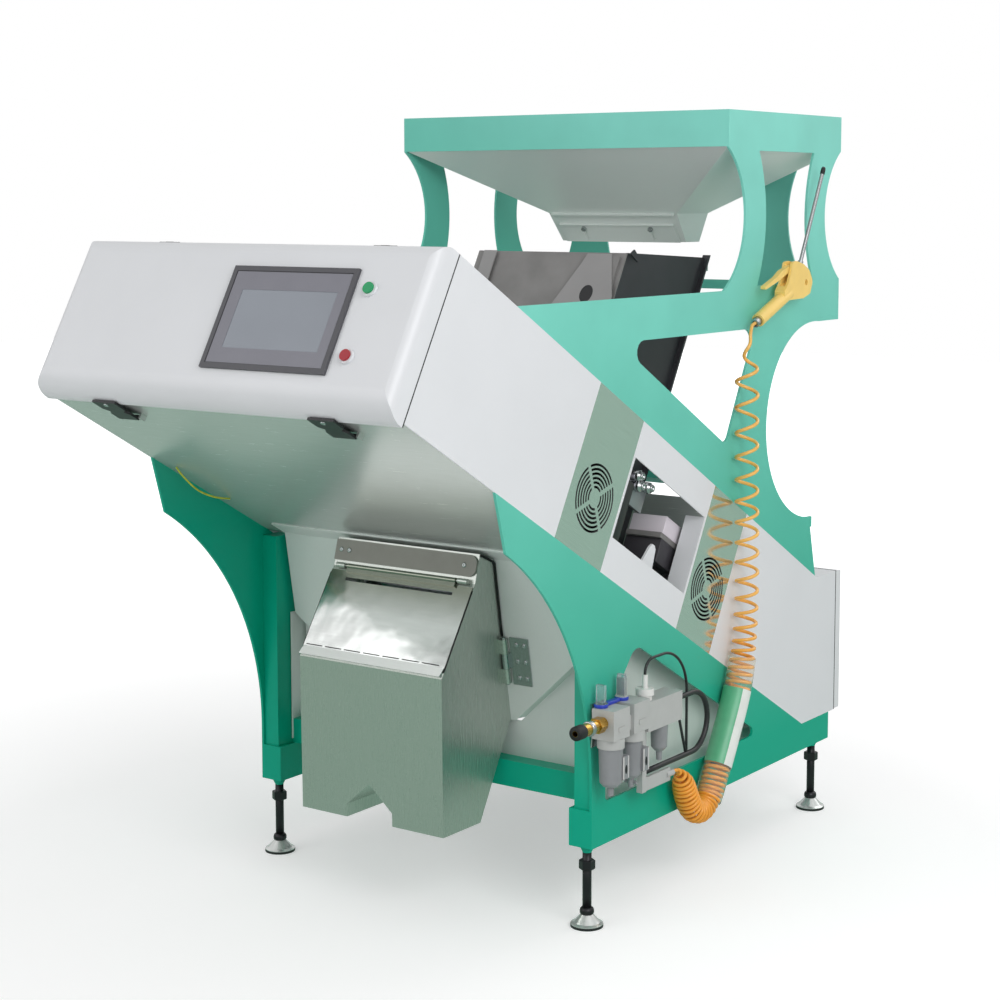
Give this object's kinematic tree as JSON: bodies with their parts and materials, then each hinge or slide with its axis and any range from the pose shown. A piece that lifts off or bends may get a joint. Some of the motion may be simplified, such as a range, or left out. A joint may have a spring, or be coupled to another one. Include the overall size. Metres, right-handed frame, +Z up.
{
  "type": "optical colour sorter",
  "caption": "Grain colour sorter: a hopper and vibrating tray feed a steep chute, tilted optical body with touch panel, air ejectors and a hinged outlet box on a green steel frame.",
  "frame": {"origin": "floor under the middle of the machine's box, without the coiled hose", "axes": "+X to the machine's right as seen standing in front of the touch panel, +Y to the rear, +Z up"},
  "size_m": [0.9785, 1.77, 1.684],
  "materials": {
    "teal_paint": "satin powder coat",
    "white_paint": "satin powder coat",
    "stainless": "brushed",
    "machined_steel": "turned",
    "black_oxide": "black oxide",
    "black_paint": "matt black coat",
    "grey_paint": "grey coat",
    "black_plastic": "moulded",
    "aluminium": "anodised",
    "window_glass": "clear",
    "bezel_plastic": "moulded",
    "screen_glass": "dark screen, switched off",
    "green_plastic": "moulded",
    "red_plastic": "moulded",
    "bowl_plastic": "moulded",
    "knob_plastic": "clear moulded",
    "gauge_plastic": "moulded",
    "brass": "turned",
    "yellow_plastic": "moulded",
    "hose_plastic": "polyurethane"
  },
  "bodies": {
    "frame": {"upper_frame_right": "teal_paint", "upper_frame_left": "teal_paint", "lower_frame_right": "teal_paint", "lower_frame_left": "teal_paint", "leg_posts": "teal_paint", "cross_beams": "teal_paint", "hopper_front_band": "teal_paint", "hopper_rear_frame": "teal_paint", "front_box_shell": "white_paint", "bay_frames": "white_paint", "rear_box_shell": "white_paint", "underside_sheet": "stainless", "front_fan_panels": "stainless", "rear_fan_panels": "stainless", "optic_walls": "stainless", "hopper_funnel": "stainless", "chute_slide": "stainless", "collecting_hopper": "stainless", "base_enclosure": "stainless", "foot_pads": "machined_steel", "wiper_cylinder": "machined_steel", "gate_screws": "machined_steel", "outlet_hinge": "machined_steel", "air_gun_nozzle": "machined_steel", "frl_bracket": "machined_steel", "foot_stems": "black_oxide", "cover_hinges": "black_oxide", "chute_sides": "black_paint", "feeder_vibrator": "black_paint", "cameras": "black_paint", "chute_front_cover": "grey_paint", "fan_frames": "black_plastic", "solenoid_valves": "black_plastic", "frl_tubes": "black_plastic", "ejector_manifold": "aluminium", "lamp_bars": "aluminium", "frl_body": "aluminium", "window_glasses": "window_glass", "frl_bowls": "bowl_plastic", "frl_gauge": "gauge_plastic", "frl_inlet": "brass", "air_gun": "yellow_plastic", "air_hose": "hose_plastic"},
    "front_cover": {"front_cover": "white_paint", "screen_bezel": "bezel_plastic", "screen_glass": "screen_glass"},
    "start_button": {"start_button": "green_plastic"},
    "stop_button": {"stop_button": "red_plastic"},
    "latch_left": {"latch_left": "black_plastic"},
    "latch_right": {"latch_right": "black_plastic"},
    "hopper_gate": {"hopper_gate": "stainless"},
    "feeder_tray": {"feeder_tray": "stainless"},
    "front_fan": {"front_fan_rotor": "black_plastic"},
    "rear_fan": {"rear_fan_rotor": "black_plastic"},
    "wiper": {"wiper": "black_plastic"},
    "outlet_box": {"outlet_box": "stainless"},
    "outlet_lid": {"outlet_lid": "stainless"},
    "rear_door": {"rear_door": "white_paint"},
    "regulator_knob": {"frl_knob": "knob_plastic"},
    "gun_trigger": {"air_gun_trigger": "yellow_plastic"}
  },
  "joints": [
    {"name": "cover_hinge", "type": "hinge", "parent": "frame", "child": "front_cover", "pos_m": [-0.02875, -0.68345, 1.39763], "axis": [-1, 0, 0], "range_deg": [0, 75]},
    {"name": "start_press", "type": "slide", "parent": "front_cover", "child": "start_button", "axis": [0, 0.8704, -0.4924], "range_m": [0, 0.003], "stiffness_N_per_m": 1500, "springref_m": -0.001},
    {"name": "stop_press", "type": "slide", "parent": "front_cover", "child": "stop_button", "axis": [0, 0.8704, -0.4924], "range_m": [0, 0.003], "stiffness_N_per_m": 1500, "springref_m": -0.001},
    {"name": "latch_left_turn", "type": "hinge", "parent": "frame", "child": "latch_left", "pos_m": [-0.30575, -0.79713, 1.06268], "axis": [1, 0, 0], "range_deg": [0, 70]},
    {"name": "latch_right_turn", "type": "hinge", "parent": "frame", "child": "latch_right", "pos_m": [0.24825, -0.79713, 1.06268], "axis": [1, 0, 0], "range_deg": [0, 70]},
    {"name": "gate_slide", "type": "slide", "parent": "frame", "child": "hopper_gate", "axis": [0, -0.6147, 0.7887], "range_m": [0, 0.028]},
    {"name": "feeder_shake", "type": "slide", "parent": "frame", "child": "feeder_tray", "axis": [0, 1, 0], "range_m": [-0.0015, 0.0015], "stiffness_N_per_m": 20000},
    {"name": "front_fan_spin", "type": "hinge", "parent": "frame", "child": "front_fan", "pos_m": [0.40125, -0.24036, 0.89531], "axis": [1, 0, 0], "continuous": true},
    {"name": "rear_fan_spin", "type": "hinge", "parent": "frame", "child": "rear_fan", "pos_m": [0.40125, 0.21266, 0.63901], "axis": [1, 0, 0], "continuous": true},
    {"name": "wiper_stroke", "type": "slide", "parent": "frame", "child": "wiper", "axis": [1, 0, 0], "range_m": [0, 0.42]},
    {"name": "outlet_swing", "type": "hinge", "parent": "frame", "child": "outlet_box", "pos_m": [0.17025, -0.19405, 0.52185], "axis": [0, -0.168, 0.9858], "range_deg": [0, 50]},
    {"name": "lid_hinge", "type": "hinge", "parent": "outlet_box", "child": "outlet_lid", "pos_m": [-0.02875, -0.29684, 0.7038], "axis": [-1, 0, 0], "range_deg": [0, 80]},
    {"name": "door_hinge", "type": "hinge", "parent": "frame", "child": "rear_door", "pos_m": [-0.48425, 0.84504, 0.411], "axis": [0, 0, 1], "range_deg": [0, 100]},
    {"name": "knob_turn", "type": "hinge", "parent": "frame", "child": "regulator_knob", "pos_m": [0.44525, -0.24996, 0.48], "axis": [0, 0, 1], "range_deg": [-180, 180]},
    {"name": "trigger_squeeze", "type": "hinge", "parent": "frame", "child": "gun_trigger", "pos_m": [0.45125, 0.52104, 1.335], "axis": [1, 0, 0], "range_deg": [0, 12], "stiffness_Nm_per_rad": 2, "springref_deg": -5.73}
  ]
}
